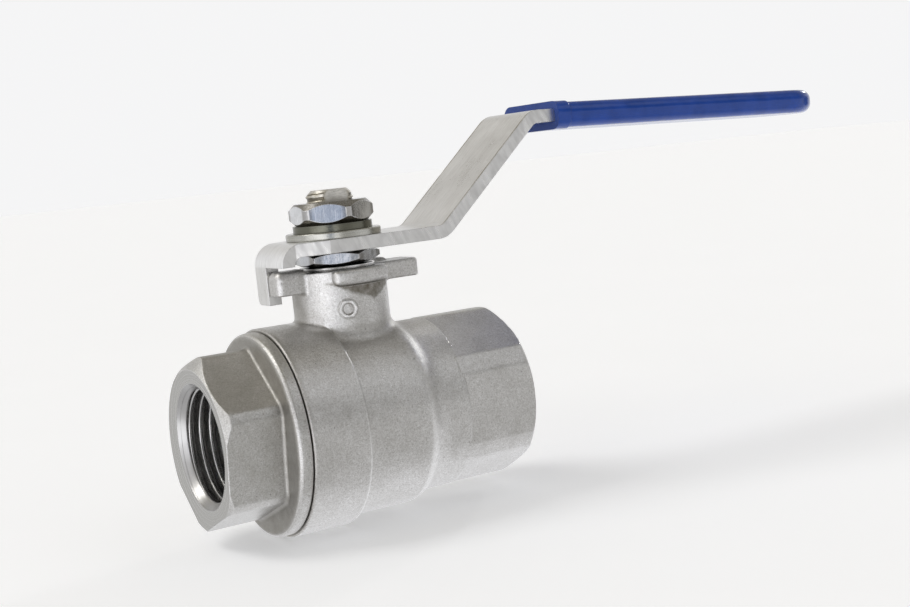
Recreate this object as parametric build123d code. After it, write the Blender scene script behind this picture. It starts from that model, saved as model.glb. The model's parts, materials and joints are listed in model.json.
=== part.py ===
from build123d import *
import os
import math

# Two-piece threaded ball valve with a steel lever, nominal bore 15 mm.
# Millimetres. Origin at the centre of the ball, where the pipe axis (X) meets
# the stem axis (Z). The screwed-in end cap is at -X. The lever points to +X
# when the valve is open.

# ---- driving dimensions -------------------------------------------------
cap_face_x = -27.8          # outer face of the end cap
body_face_x = 28.3          # outer face of the body
hex_af = 27.5               # body hexagon, across flats
hex_corner_r = 14.95        # its turned corners
cap_hex_af = 26.1           # end cap hexagon, across flats
cap_corner_r = 14.6
cap_hex_turn = 7.5          # cap hexagon as it stopped when screwed home, degrees
cap_hex_shift = 1.35        # cast hexagon off the turned axis, along Y
port_r = 10.4               # root of the 1/2 inch pipe thread
port_depth = 13.0
waterway_r = 7.5
ball_r = 12.0

body_joint_x = -15.6        # end of the body towards the cap
body_step_x = -5.5
body_r_a = 17.45
body_r_b = 16.26
body_r_c = 14.85
flange_r = 16.96
flange_x0, flange_x1 = -15.72, -18.0

spigot_r = 13.36            # cap spigot, screwed into the body
spigot_end_x = -8.2
body_thread_r = 13.40
cavity_r = 12.3
seat_x0, seat_x1 = 8.2, 11.6
seat_or, seat_ir = 11.6, 7.6

neck_r = 8.1
neck_top_z = 25.5
stuffing_r = 5.95
stuffing_z = 16.0
stem_r = 4.0
stem_thread_r = 3.75
collar_r = 5.2
stem_flat = 2.86            # half distance across the two flats
stem_top_z = 38.9

lever_t = 2.25
lever_w = 15.0
lever_z0 = 28.55            # underside of the flat part
tail_w = 11.5
tail_x = -12.4              # outer face of the turned-down tail
tail_bottom_z = 20.75
tail_notch_z = 27.1
tail_notch_y = 1.35
bend_low_x = 17.41
bend_high = (37.53, 47.78)
lever_end = (107.5, 45.92)
sleeve_wall = 1.15
sleeve_x0 = 42.2

low_nut_af, low_nut_corner_r, low_nut_turn = 13.0, 7.45, 35.0
nut_af, nut_corner_r, nut_turn = 12.8, 7.15, 29.0
washer_r = 8.04
lock_washer_r = 6.7

os.makedirs("parts", exist_ok=True)


def revolve_x(pts):
    """Solid of revolution about X from (x, r) points."""
    return revolve(Plane.XY * make_face(Polyline(*[(x, r) for x, r in pts], close=True)), Axis.X)


def revolve_z(pts):
    """Solid of revolution about Z from (r, z) points."""
    return revolve(Plane.XZ * make_face(Polyline(*[(r, z) for r, z in pts], close=True)), Axis.Z)


def ring_z(ro, ri, z0, z1, ch=0.0):
    pts = [(ri, z0), (ro - ch, z0), (ro, z0 + ch), (ro, z1 - ch), (ro - ch, z1), (ri, z1)]
    if ch == 0:
        pts = [(ri, z0), (ro, z0), (ro, z1), (ri, z1)]
    return revolve_z(pts)


def cyl_x(r, x0, x1):
    return Pos((x0 + x1) / 2, 0, 0) * Rot(0, 90, 0) * Cylinder(r, abs(x1 - x0))


def cyl_z(r, z0, z1):
    return Pos(0, 0, (z0 + z1) / 2) * Cylinder(r, z1 - z0)


def box(x0, x1, y0, y1, z0, z1):
    return Pos((x0 + x1) / 2, (y0 + y1) / 2, (z0 + z1) / 2) * Box(x1 - x0, y1 - y0, z1 - z0)


def soft_hexagon(af, corner_r, soft):
    """Hexagon with its corners turned down to corner_r and blended into the flats."""
    sk = RegularPolygon(af / math.sqrt(3), 6, rotation=30) & Circle(corner_r)
    for r in (soft, soft * 0.7, soft * 0.4):
        try:
            return fillet(sk.vertices(), r)
        except Exception:
            pass
    return sk


def hex_x(af, corner_r, soft, x0, x1, turn):
    """Hexagonal bar along X with flats facing +-Y, then turned."""
    return extrude(Plane.YZ.offset(x0) * Rot(0, 0, turn) * soft_hexagon(af, corner_r, soft), x1 - x0)


def safe_fillet(part, edges, radii):
    for r in radii:
        try:
            out = fillet(edges, r)
            if out.is_valid and out.volume > 0:
                return out
        except Exception:
            pass
    return part


def save(name, part, colour):
    s = part.solids()
    if len(s) != 1:
        raise ValueError(f"{name}: {len(s)} solids")
    s = s[0]
    s.label = name
    s.color = Color(*colour)
    export_step(s, f"parts/{name}.step")
    print(name, round(s.volume, 1), [round(v, 2) for v in (*s.bounding_box().min, *s.bounding_box().max)])
    return s


STEEL = (0.62, 0.61, 0.58)
BRIGHT = (0.75, 0.75, 0.76)
PTFE = (0.93, 0.93, 0.90)
BLUE = (0.03, 0.10, 0.40)

# ---- body ----------------------------------------------------------------
def shoulder_face():
    """Half section of the middle of the body: straight, then an S-shaped shoulder down to the round of the hexagon."""
    top = Edge.make_line((-14.0, body_r_b, 0), (5.7, body_r_b, 0))
    ess = Edge.make_spline([Vector(5.7, body_r_b, 0), Vector(8.3, body_r_b - 0.86, 0), Vector(11.3, body_r_c, 0)],
                           tangents=[Vector(1, 0, 0), Vector(1, 0, 0)])
    rest = [Edge.make_line(p, q) for p, q in (
        ((11.3, body_r_c, 0), (14.6, body_r_c, 0)), ((14.6, body_r_c, 0), (14.6, 0, 0)),
        ((14.6, 0, 0), (-14.0, 0, 0)), ((-14.0, 0, 0), (-14.0, body_r_b, 0)))]
    return Face(Wire([top, ess] + rest))


core = revolve(shoulder_face(), Axis.X)
neck = cyl_z(neck_r, 0, neck_top_z)
core = core + neck
root = [e for e in core.edges()
        if 9.5 < e.center().Z < 18.0 and
        all(abs(math.hypot((e @ t).X, (e @ t).Y) - neck_r) < 0.02 for t in (0, 0.25, 0.5, 0.75, 1))]
core = safe_fillet(core, root, (2.4, 2.1, 1.8, 1.5, 1.2, 0.9, 0.6))
front = revolve_x([
    (body_joint_x, 0), (body_joint_x, body_r_a - 0.15), (body_joint_x + 0.15, body_r_a),
    (body_step_x - 0.35, body_r_a), (body_step_x - 0.1, body_r_a - 0.10),
    (body_step_x + 0.2, body_r_b + 0.12), (body_step_x + 0.5, body_r_b - 0.02), (body_step_x + 0.5, 0)])
bar = hex_x(hex_af, hex_corner_r, 2.0, 13.5, body_face_x, 0) & revolve_x([
    (13.5, 0), (13.5, body_r_c - 0.25), (14.6, body_r_c + 0.3), (body_face_x - 1.15, body_r_c + 0.3),
    (body_face_x - 0.5, hex_corner_r - 0.42), (body_face_x, hex_corner_r - 1.15), (body_face_x, 0)])
body = core + bar + front
low_root = [e for e in body.edges()
            if 9.0 < e.center().Z < 18.5 and e.center().X < body_step_x and
            all(abs(math.hypot((e @ t).Y, (e @ t).Z) - body_r_a) < 0.02 for t in (0, 0.5, 1)) and
            math.hypot(e.center().X, e.center().Y) > neck_r - 1 and e.length > 3 and
            math.hypot((e @ 0.5).X, (e @ 0.5).Y) < neck_r + 3]
body = safe_fillet(body, low_root, (1.4, 1.0, 0.7, 0.5, 0.3))

# the stops, cast on the top of the neck
def lug(x0, x1, y0, y1, z0, z1, upright, r_up, r_top):
    b = box(x0, x1, y0, y1, z0, z1)
    e = [k for k in b.edges().filter_by(Axis.Z) if any(abs(k.center().X - u) < 0.01 and abs(k.center().Y - w) < 0.01 for u, w in upright)]
    b = safe_fillet(b, e, (r_up, r_up * 0.7))
    top = b.faces().sort_by(Axis.Z)[-1].edges()
    b = safe_fillet(b, top, (r_top, r_top * 0.7, 0.3))
    low = b.faces().sort_by(Axis.Z)[0].edges()
    return safe_fillet(b, low, (0.35, 0.2))


ear_open = lug(-12.5, -3.0, -3.2, 1.22, 22.3, 26.35, [(-12.5, -3.2), (-12.5, 1.22)], 1.2, 1.3)
ear_right = lug(3.0, 14.2, -3.2, 3.6, 22.65, 25.75, [(14.2, -3.2), (14.2, 3.6)], 1.3, 0.5)
ear_closed = lug(5.92, 9.6, 0.0, 12.5, 22.3, 26.35, [(5.92, 12.5), (9.6, 12.5)], 0.8, 0.9)
# boss between the two ears at the front, following the neck
boss = make_face(Polyline((0, 0), (-7.04, -10.93), (0, -14.0), (7.4, -12.9), (9.44, -11.1), close=True)) & Circle(9.6)
boss = extrude(Plane.XY.offset(23.0) * (boss - Circle(5.0)), 2.65)
boss = safe_fillet(boss, [e for e in boss.edges().filter_by(Axis.Z) if math.hypot(e.center().X, e.center().Y) > 9], (1.3, 0.9))
boss = safe_fillet(boss, boss.faces().sort_by(Axis.Z)[0].edges(), (1.15, 0.8, 0.5))
boss = safe_fillet(boss, boss.faces().sort_by(Axis.Z)[-1].edges(), (0.6, 0.5, 0.3))
stops = ear_open + ear_right + ear_closed + boss
stops = stops - cyl_z(7.2, 20, 40)
body = body + stops
# cast blends where the stops grow out of the neck


def at_neck(e):
    return (22.0 < e.center().Z < 25.4 and e.length > 0.8 and
            all(abs(math.hypot((e @ t).X, (e @ t).Y) - neck_r) < 0.03 for t in (0, 0.5, 1)))


for spot in [e.center() for e in body.edges() if at_neck(e)]:
    near = [e for e in body.edges() if at_neck(e) and (e.center() - spot).length < 0.6]
    if near:
        near.sort(key=lambda e: (e.center() - spot).length)
        body = safe_fillet(body, near[:1], (0.7, 0.45))
# machined top of the neck, inside the stops
body = body - cyl_z(7.75, neck_top_z, 40)
# witness mark of the casting pattern on the neck
mark = Plane(origin=(-2.35, -7.2, 19.25), z_dir=(-0.30, -0.954, 0)) * (RegularPolygon(1.62, 6) - Circle(1.0))
body = body + extrude(mark, 0.92)

# inside of the body
body = body - cyl_x(body_thread_r, body_joint_x - 1, -7.2) \
            - cyl_x(cavity_r, -8, seat_x0) \
            - cyl_x(seat_or + 0.05, seat_x0 - 0.5, seat_x1 + 0.05) \
            - cyl_x(waterway_r, seat_x1 - 1, body_face_x - port_depth + 1) \
            - revolve_x([(body_face_x + 1, 0), (body_face_x + 1, port_r), (body_face_x - port_depth, port_r),
                         (body_face_x - port_depth - 1.2, waterway_r), (body_face_x - port_depth - 1.2, 0)])
body = body - cyl_z(collar_r + 0.2, 8, 14.2) - cyl_z(stem_r + 0.1, 14, 16.5) \
            - cyl_z(stuffing_r, stuffing_z, neck_top_z + 1) \
            - revolve_z([(0, neck_top_z + 0.1), (stuffing_r + 0.4, neck_top_z + 0.1), (stuffing_r, neck_top_z - 0.3), (0, neck_top_z - 0.3)])
save("body", body, STEEL)

# ---- end cap ---------------------------------------------------------------
cap_bar = Pos(0, cap_hex_shift, 0) * hex_x(cap_hex_af, cap_corner_r, 1.7, cap_face_x, flange_x1 + 0.2, cap_hex_turn)
# corners broken by a cone off the turned axis, so the near corner loses most
cap_bar = cap_bar & (Pos(0, 1.15, -0.75) * revolve_x([
    (cap_face_x, 0), (cap_face_x, cap_corner_r - 1.25), (cap_face_x + 1.4, cap_corner_r + 0.45),
    (cap_face_x + 4, cap_corner_r + 3.4), (flange_x1 + 0.2, cap_corner_r + 3.4), (flange_x1 + 0.2, 0)]))
flange = revolve_x([
    (flange_x0, 0), (flange_x0, flange_r - 0.12), (flange_x0 - 0.12, flange_r), (flange_x1 + 0.85, flange_r),
    (flange_x1 + 0.50, flange_r - 0.10), (flange_x1 + 0.22, flange_r - 0.32), (flange_x1 + 0.06, flange_r - 0.62),
    (flange_x1, flange_r - 0.95), (flange_x1, 0)])
cap = cap_bar + flange
root = [e for e in cap.edges() if abs(e.center().X - flange_x1) < 0.02 and
        all(math.hypot((e @ t).Y - cap_hex_shift, (e @ t).Z) < cap_corner_r + 0.05 for t in (0, 0.5, 1))]
cap = safe_fillet(cap, root, (0.6, 0.4, 0.25))
spigot = revolve_x([(flange_x0 - 0.5, 0), (flange_x0 - 0.5, spigot_r), (spigot_end_x - 0.5, spigot_r),
                    (spigot_end_x, spigot_r - 0.4), (spigot_end_x, 0)])
cap = cap + spigot
cap = cap - cyl_x(seat_or + 0.05, -seat_x1 - 0.05, spigot_end_x + 1) \
          - cyl_x(waterway_r, cap_face_x + port_depth - 1, -seat_x1 + 1) \
          - revolve_x([(cap_face_x - 1, 0), (cap_face_x - 1, port_r), (cap_face_x + port_depth, port_r),
                       (cap_face_x + port_depth + 1.2, waterway_r), (cap_face_x + port_depth + 1.2, 0)])
save("end_cap", cap, STEEL)

# ---- sealing ring between cap and body -------------------------------------
save("body_gasket", revolve_x([(-8.2, 12.35), (-8.2, 13.38), (-7.2, 13.38), (-7.2, 12.35)]), PTFE)

# ---- ball ------------------------------------------------------------------
ball = Sphere(ball_r) - cyl_x(waterway_r, -13, 13) - box(-2.55, 2.55, -13, 13, 8.4, 13)
save("ball", ball, BRIGHT)

# ---- seats -----------------------------------------------------------------
def seat(sign):
    r = ball_r + 0.02
    lip = math.sqrt(r * r - seat_x0 ** 2)      # where the spherical seat meets the front face
    deep = math.sqrt(r * r - seat_ir ** 2)     # where it meets the waterway
    a = math.atan2(lip, seat_x0)
    b = math.atan2(seat_ir, deep)
    m = (a + b) / 2
    pts = [(deep, seat_ir), (seat_x1, seat_ir), (seat_x1, seat_or), (seat_x0 + 0.3, seat_or),
           (seat_x0, seat_or - 0.3), (seat_x0, lip)]
    e = [Edge.make_line((sign * p[0], p[1], 0), (sign * q[0], q[1], 0)) for p, q in zip(pts[:-1], pts[1:])]
    e.append(Edge.make_three_point_arc((sign * seat_x0, lip, 0), (sign * r * math.cos(m), r * math.sin(m), 0), (sign * deep, seat_ir, 0)))
    return revolve(Face(Wire(e)), Axis.X)


save("seat_ring_cap_side", seat(-1), PTFE)
save("seat_ring_body_side", seat(1), PTFE)

# ---- stem ------------------------------------------------------------------
stem = revolve_z([(0, 12.2), (collar_r - 0.3, 12.2), (collar_r, 12.5), (collar_r, 13.35), (stem_r, 13.35),
                  (stem_r, lever_z0), (stem_thread_r, lever_z0), (stem_thread_r, stem_top_z - 0.7),
                  (stem_thread_r - 0.7, stem_top_z), (0, stem_top_z)])
tang = box(-2.45, 2.45, -13, 13, 8.6, 12.6) & cyl_z(4.4, 8, 13)
stem = stem + tang
# two flats that drive the lever
stem = stem - box(-8, 8, stem_flat, 8, lever_z0, 45) - box(-8, 8, -8, -stem_flat, lever_z0, 45)
save("stem", stem, BRIGHT)

# ---- stem seals --------------------------------------------------------------
save("thrust_washer", ring_z(collar_r + 0.1, stem_r + 0.05, 13.4, 14.2), PTFE)
bore = stem_r + 0.03
wall = stuffing_r - 0.02
mid = (bore + wall) / 2
save("packing_ring_bottom", revolve_z([(bore, 16.0), (wall, 16.0), (wall, 17.5), (mid, 18.2), (bore, 17.5)]), PTFE)
save("packing_ring_middle", revolve_z([(bore, 17.55), (mid, 18.25), (wall, 17.55), (wall, 19.2), (mid, 19.9), (bore, 19.2)]), PTFE)
save("packing_ring_top", revolve_z([(bore, 19.25), (mid, 19.95), (wall, 19.25), (wall, 22.4), (bore, 22.4)]), PTFE)
save("gland_ring", ring_z(stuffing_r - 0.05, stem_r + 0.1, 22.4, neck_top_z + 0.15, 0.15), BRIGHT)
save("disc_spring", revolve_z([(4.15, 25.98), (4.15, 26.38), (4.35, 26.46), (6.35, 26.14), (6.42, 25.95), (6.35, 25.69), (6.10, 25.69)]), BRIGHT)


def nut(af, corner, z0, z1, bore_r, turn, ch=0.55):
    bar = extrude(Plane.XY.offset(z0) * Rot(0, 0, turn - 30) * soft_hexagon(af, corner, 0.9), z1 - z0)
    turned = revolve_z([(0, z0), (af / 2 - 0.35, z0), (corner, z0 + ch), (corner, z1 - ch), (af / 2 - 0.35, z1), (0, z1)])
    n = bar & turned
    n = n - cyl_z(bore_r, z0 - 1, z1 + 1)
    n = n - revolve_z([(0, z0 - 0.01), (bore_r + 0.35, z0 - 0.01), (bore_r, z0 + 0.35), (0, z0 + 0.35)])
    n = n - revolve_z([(0, z1 + 0.01), (bore_r + 0.35, z1 + 0.01), (bore_r, z1 - 0.35), (0, z1 - 0.35)])
    return n


save("stem_nut", nut(low_nut_af, low_nut_corner_r, 26.5, lever_z0, stem_r, low_nut_turn, 0.62), BRIGHT)

# ---- lever -------------------------------------------------------------------
h = lever_t / 2
zc = lever_z0 + h
tx = tail_x + h
path = Polyline((tx, tail_bottom_z), (tx, zc), (bend_low_x, zc), bend_high, lever_end)
corners = path.vertices().sort_by(Axis.X)
wire = Wire(path.edges())
v = wire.vertices()
by_x = sorted(v, key=lambda q: (round(q.X, 3), q.Z))
bend_tail = [q for q in v if abs(q.X - tx) < 0.01 and abs(q.Z - zc) < 0.01]
bend_mid = [q for q in v if abs(q.X - bend_low_x) < 0.01]
bend_top = [q for q in v if abs(q.X - bend_high[0]) < 0.01]


def arc_corner(p0, p1, p2, r):
    """Tangent points and mid point of a round corner of radius r at p1."""
    a = Vector(p0[0] - p1[0], p0[1] - p1[1]).normalized()
    b = Vector(p2[0] - p1[0], p2[1] - p1[1]).normalized()
    half = math.acos(max(-1, min(1, a.X * b.X + a.Y * b.Y))) / 2
    d = r / math.tan(half)
    bis = (a + b).normalized()
    c = (p1[0] + bis.X * r / math.sin(half), p1[1] + bis.Y * r / math.sin(half))
    s = (p1[0] + a.X * d, p1[1] + a.Y * d)
    e = (p1[0] + b.X * d, p1[1] + b.Y * d)
    m = (c[0] - bis.X * r, c[1] - bis.Y * r)
    return s, m, e, c


def offset_poly(pts, radii, off):
    """Outline of the bent strip shifted sideways by off, corners kept concentric."""
    out = []
    n = len(pts)
    nrm = []
    for i in range(n - 1):
        dx, dz = pts[i + 1][0] - pts[i][0], pts[i + 1][1] - pts[i][1]
        L = math.hypot(dx, dz)
        nrm.append((-dz / L, dx / L))
    segs = []
    cur = (pts[0][0] + nrm[0][0] * off, pts[0][1] + nrm[0][1] * off)
    for i in range(1, n - 1):
        s, m, e, c = arc_corner(pts[i - 1], pts[i], pts[i + 1], radii[i - 1])
        def sh(p, c=c, r=radii[i - 1]):
            d = (p[0] - c[0], p[1] - c[1])
            # which side of the strip is the centre of the bend on
            side = nrm[i - 1][0] * (c[0] - s[0]) + nrm[i - 1][1] * (c[1] - s[1])
            k = (r - off) / r if side > 0 else (r + off) / r
            return (c[0] + d[0] * k, c[1] + d[1] * k)
        s2, m2, e2 = sh(s), sh(m), sh(e)
        segs.append(("line", cur, s2))
        segs.append(("arc", s2, m2, e2))
        cur = e2
    last = (pts[-1][0] + nrm[-1][0] * off, pts[-1][1] + nrm[-1][1] * off)
    segs.append(("line", cur, last))
    return segs


def strip_face(pts, radii, half_t):
    up = offset_poly(pts, radii, half_t)
    dn = offset_poly(pts, radii, -half_t)
    edges = []
    for s in up + dn:
        if s[0] == "line":
            edges.append(Edge.make_line((s[1][0], 0, s[1][1]), (s[2][0], 0, s[2][1])))
        else:
            edges.append(Edge.make_three_point_arc((s[1][0], 0, s[1][1]), (s[2][0], 0, s[2][1]), (s[3][0], 0, s[3][1])))
    for i in (0, -1):
        a = up[i][1] if i == 0 else up[i][2]
        b = dn[i][1] if i == 0 else dn[i][2]
        edges.append(Edge.make_line((a[0], 0, a[1]), (b[0], 0, b[1])))
    return Face(Wire(edges))


centre = [(tx, tail_bottom_z), (tx, zc), (bend_low_x, zc), bend_high, lever_end]
radii = [2.55, 3.2, 3.4]
face = strip_face(centre, radii, h)
lever = extrude(face, lever_w / 2, dir=(0, 1, 0), both=True)
# plan outline: tail narrower, far end rounded
plan = Polyline((-20, -tail_w / 2), (-9.8, -tail_w / 2), (-4.3, -lever_w / 2), (200, -lever_w / 2),
                (200, lever_w / 2), (-4.3, lever_w / 2), (-9.8, tail_w / 2), (-20, tail_w / 2), close=True)
lever = lever & extrude(Plane.XY * make_face(plan), 80)
end_round = [e for e in lever.edges() if e.center().X > lever_end[0] - 1.2 and abs(abs(e.center().Y) - lever_w / 2) < 0.01 and e.length < 3]
lever = safe_fillet(lever, end_round, (lever_w / 2 - 0.1, 5.0, 3.0))
# notch in the tail that leaves the stop tooth on one side
lever = lever - box(tail_x - 1, tail_x + lever_t + 1.5, -tail_w, tail_notch_y, tail_bottom_z - 1, tail_notch_z)
tooth = [e for e in lever.edges().filter_by(Axis.X) if abs(e.center().Z - tail_bottom_z) < 0.01 and e.center().Y > tail_notch_y + 1]
lever = safe_fillet(lever, tooth, (1.0, 0.6))
# hole with two flats for the stem
hole = cyl_z(stem_thread_r + 0.12, lever_z0 - 1, lever_z0 + lever_t + 1) & box(-8, 8, -stem_flat - 0.08, stem_flat + 0.08, 20, 40)
lever = lever - hole
save("lever_handle", lever, STEEL)

# ---- grip sleeve ---------------------------------------------------------------
gs = bend_high
slope = (lever_end[1] - gs[1]) / (lever_end[0] - gs[0])
ang = math.degrees(math.atan(slope))
def along(x, dz=0.0):
    return (x, gs[1] + slope * (x - gs[0]) + dz)

L = (lever_end[0] - sleeve_x0) / math.cos(math.radians(ang))
sp = Plane(origin=(sleeve_x0, 0, along(sleeve_x0)[1]), x_dir=(math.cos(math.radians(ang)), 0, math.sin(math.radians(ang))), z_dir=(-math.sin(math.radians(ang)), 0, math.cos(math.radians(ang))))
Ls = L + sleeve_wall
lip = 2.9
block = Pos(Ls / 2, 0, 0) * Box(Ls, lever_w + 2 * sleeve_wall, lever_t + 2 * sleeve_wall)
e1 = [e for e in block.edges().filter_by(Axis.Z) if e.center().X > Ls - 0.1]
block = safe_fillet(block, e1, (lever_w / 2 + sleeve_wall - 0.1, 6.1, 4.0))
e2 = [e for e in block.edges() if abs(abs(e.center().Z) - (h + sleeve_wall)) < 0.01 and not (abs(e.center().X) < 0.01)]
block = safe_fillet(block, e2, (1.9, 1.6, 1.15, 0.9))
# thicker rolled lip at the open end
bead = Pos(lip / 2, 0, 0) * Box(lip, lever_w + 2 * sleeve_wall + 0.5, lever_t + 2 * sleeve_wall + 0.5)
e4 = [e for e in bead.edges().filter_by(Axis.X)]
bead = safe_fillet(bead, e4, (2.1, 1.6, 1.0))
e5 = [e for e in bead.edges() if abs(e.center().X - lip) < 0.01]
bead = safe_fillet(bead, e5, (0.24, 0.15))
block = block + bead
inner = Pos(L / 2 - 0.5, 0, 0) * Box(L + 1.0, lever_w, lever_t)
e3 = [e for e in inner.edges().filter_by(Axis.Z) if e.center().X > L - 0.1]
inner = safe_fillet(inner, e3, (lever_w / 2 - 0.1, 5.0, 3.0))
sleeve = sp.location * (block - inner)
save("grip_sleeve", sleeve, BLUE)

# ---- parts on top of the lever -----------------------------------------------
z = lever_z0 + lever_t
save("flat_washer", ring_z(washer_r, stem_thread_r + 0.25, z, z + 1.2, 0.15), BRIGHT)
lock = ring_z(lock_washer_r, stem_thread_r + 0.2, z + 1.2, z + 2.4)
slit = Rot(0, 0, 70) * Pos(5.4, 0, z + 1.8) * Rot(25, 0, 0) * Box(5, 0.5, 4)
save("spring_lock_washer", lock - slit, BRIGHT)
save("handle_nut", nut(nut_af, nut_corner_r, z + 2.4, z + 6.1, stem_thread_r, nut_turn, 1.1), BRIGHT)
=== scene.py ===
import json
import math

import bmesh
import bpy
from mathutils import Matrix, Vector


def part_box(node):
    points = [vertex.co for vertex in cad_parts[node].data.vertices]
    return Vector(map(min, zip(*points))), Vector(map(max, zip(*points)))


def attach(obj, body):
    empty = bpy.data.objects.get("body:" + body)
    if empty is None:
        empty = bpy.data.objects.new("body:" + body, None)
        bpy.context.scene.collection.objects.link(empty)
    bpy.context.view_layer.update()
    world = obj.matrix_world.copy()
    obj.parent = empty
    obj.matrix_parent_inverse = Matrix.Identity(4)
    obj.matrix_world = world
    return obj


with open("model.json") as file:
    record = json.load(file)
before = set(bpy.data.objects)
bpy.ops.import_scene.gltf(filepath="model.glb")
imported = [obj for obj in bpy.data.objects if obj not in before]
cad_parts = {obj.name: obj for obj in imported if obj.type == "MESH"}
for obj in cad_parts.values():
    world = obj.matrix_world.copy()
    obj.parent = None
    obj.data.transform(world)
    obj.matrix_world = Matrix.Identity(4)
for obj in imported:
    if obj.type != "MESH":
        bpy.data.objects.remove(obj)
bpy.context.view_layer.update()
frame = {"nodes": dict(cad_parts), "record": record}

nodes = frame["nodes"]
scene = bpy.context.scene
MM = 0.001


# ---------------------------------------------------------------- node helpers
class Tree:
    """A node material with the object's own coordinates in millimetres."""

    def __init__(self, name, world=False):
        if world:
            self.mat = bpy.data.worlds.new(name)
        else:
            self.mat = bpy.data.materials.new(name)
        self.mat.use_nodes = True
        self.nt = self.mat.node_tree
        self.nt.nodes.clear()
        if world:
            return
        self.out = self.nt.nodes.new("ShaderNodeOutputMaterial")
        self.bsdf = self.nt.nodes.new("ShaderNodeBsdfPrincipled")
        self.nt.links.new(self.bsdf.outputs[0], self.out.inputs["Surface"])
        self.tc = self.nt.nodes.new("ShaderNodeTexCoord")
        self.p = self.vec("MULTIPLY", self.tc.outputs["Object"], (1000, 1000, 1000))
        self.n = self.tc.outputs["Normal"]
        self.x, self.y, self.z = self.xyz(self.p)
        self.nx, self.ny, self.nz = self.xyz(self.n)

    def put(self, sock, v):
        if hasattr(v, "is_output"):
            self.nt.links.new(v, sock)
        else:
            sock.default_value = v

    def vec(self, op, a, b=None, scale=None):
        n = self.nt.nodes.new("ShaderNodeVectorMath")
        n.operation = op
        self.put(n.inputs[0], a)
        if b is not None:
            self.put(n.inputs[1], b)
        if scale is not None:
            self.put(n.inputs["Scale"], scale)
        return n.outputs["Value"] if op in ("DOT_PRODUCT", "LENGTH", "DISTANCE") else n.outputs["Vector"]

    def xyz(self, v):
        n = self.nt.nodes.new("ShaderNodeSeparateXYZ")
        self.put(n.inputs[0], v)
        return n.outputs[0], n.outputs[1], n.outputs[2]

    def comb(self, x, y, z):
        n = self.nt.nodes.new("ShaderNodeCombineXYZ")
        self.put(n.inputs[0], x); self.put(n.inputs[1], y); self.put(n.inputs[2], z)
        return n.outputs[0]

    def m(self, op, a, b=None, c=None, clamp=False):
        n = self.nt.nodes.new("ShaderNodeMath")
        n.operation = op
        n.use_clamp = clamp
        self.put(n.inputs[0], a)
        if b is not None:
            self.put(n.inputs[1], b)
        if c is not None:
            self.put(n.inputs[2], c)
        return n.outputs[0]

    def step(self, v, lo, hi, a=0.0, b=1.0):
        """Smooth step of v from lo to hi, giving a to b. lo may be above hi."""
        n = self.nt.nodes.new("ShaderNodeMapRange")
        n.interpolation_type = "SMOOTHSTEP"
        self.put(n.inputs["Value"], v)
        if lo > hi:
            lo, hi, a, b = hi, lo, b, a
        n.inputs["From Min"].default_value = lo
        n.inputs["From Max"].default_value = hi
        n.inputs["To Min"].default_value = a
        n.inputs["To Max"].default_value = b
        return n.outputs[0]

    def lin(self, v, lo, hi, a=0.0, b=1.0):
        n = self.nt.nodes.new("ShaderNodeMapRange")
        self.put(n.inputs["Value"], v)
        n.inputs["From Min"].default_value = lo
        n.inputs["From Max"].default_value = hi
        n.inputs["To Min"].default_value = a
        n.inputs["To Max"].default_value = b
        return n.outputs[0]

    def noise(self, scale, detail=3.0, rough=0.55, vector=None, distortion=0.0):
        n = self.nt.nodes.new("ShaderNodeTexNoise")
        self.put(n.inputs["Vector"], self.p if vector is None else vector)
        n.inputs["Scale"].default_value = scale
        n.inputs["Detail"].default_value = detail
        n.inputs["Roughness"].default_value = rough
        n.inputs["Distortion"].default_value = distortion
        return n.outputs[0]

    def voronoi(self, scale, vector=None, feature="F1", rand=1.0, out="Distance"):
        n = self.nt.nodes.new("ShaderNodeTexVoronoi")
        n.feature = feature
        self.put(n.inputs["Vector"], self.p if vector is None else vector)
        n.inputs["Scale"].default_value = scale
        n.inputs["Randomness"].default_value = rand
        return n.outputs[out]

    def mix(self, fac, a, b):
        n = self.nt.nodes.new("ShaderNodeMix")
        n.data_type = "RGBA"
        self.put(n.inputs[0], fac)
        for sock, v in ((n.inputs[6], a), (n.inputs[7], b)):
            if not hasattr(v, "is_output") and len(v) == 3:
                v = (*v, 1.0)
            self.put(sock, v)
        return n.outputs[2]

    def mixf(self, fac, a, b):
        n = self.nt.nodes.new("ShaderNodeMix")
        n.data_type = "FLOAT"
        self.put(n.inputs[0], fac); self.put(n.inputs[2], a); self.put(n.inputs[3], b)
        return n.outputs[0]

    def bump(self, height, dist_mm, strength=1.0, normal=None):
        n = self.nt.nodes.new("ShaderNodeBump")
        n.inputs["Strength"].default_value = strength
        n.inputs["Distance"].default_value = dist_mm * MM
        self.put(n.inputs["Height"], height)
        if normal is not None:
            self.put(n.inputs["Normal"], normal)
        return n.outputs[0]

    def soft_edge(self, radius_mm, samples=4):
        n = self.nt.nodes.new("ShaderNodeBevel")
        n.samples = samples
        n.inputs["Radius"].default_value = radius_mm * MM
        return n.outputs[0]

    def edge_wear_and_highlight(self, bevel):
        """1 along sharp edges, where the bevelled normal leaves the face's own."""
        g = self.nt.nodes.new("ShaderNodeNewGeometry")
        return self.step(self.vec("DOT_PRODUCT", bevel, g.outputs["Normal"]), 0.995, 0.93)

    def set(self, **kw):
        names = {"base": "Base Color", "rough": "Roughness", "metal": "Metallic", "normal": "Normal",
                 "coat": "Coat Weight", "coat_rough": "Coat Roughness", "ior": "IOR", "spec": "Specular IOR Level",
                 "sss": "Subsurface Weight", "sheen": "Sheen Weight"}
        for k, v in kw.items():
            if k == "base" and not hasattr(v, "is_output") and len(v) == 3:
                v = (*v, 1.0)
            self.put(self.bsdf.inputs[names[k]], v)
        return self.mat


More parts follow.
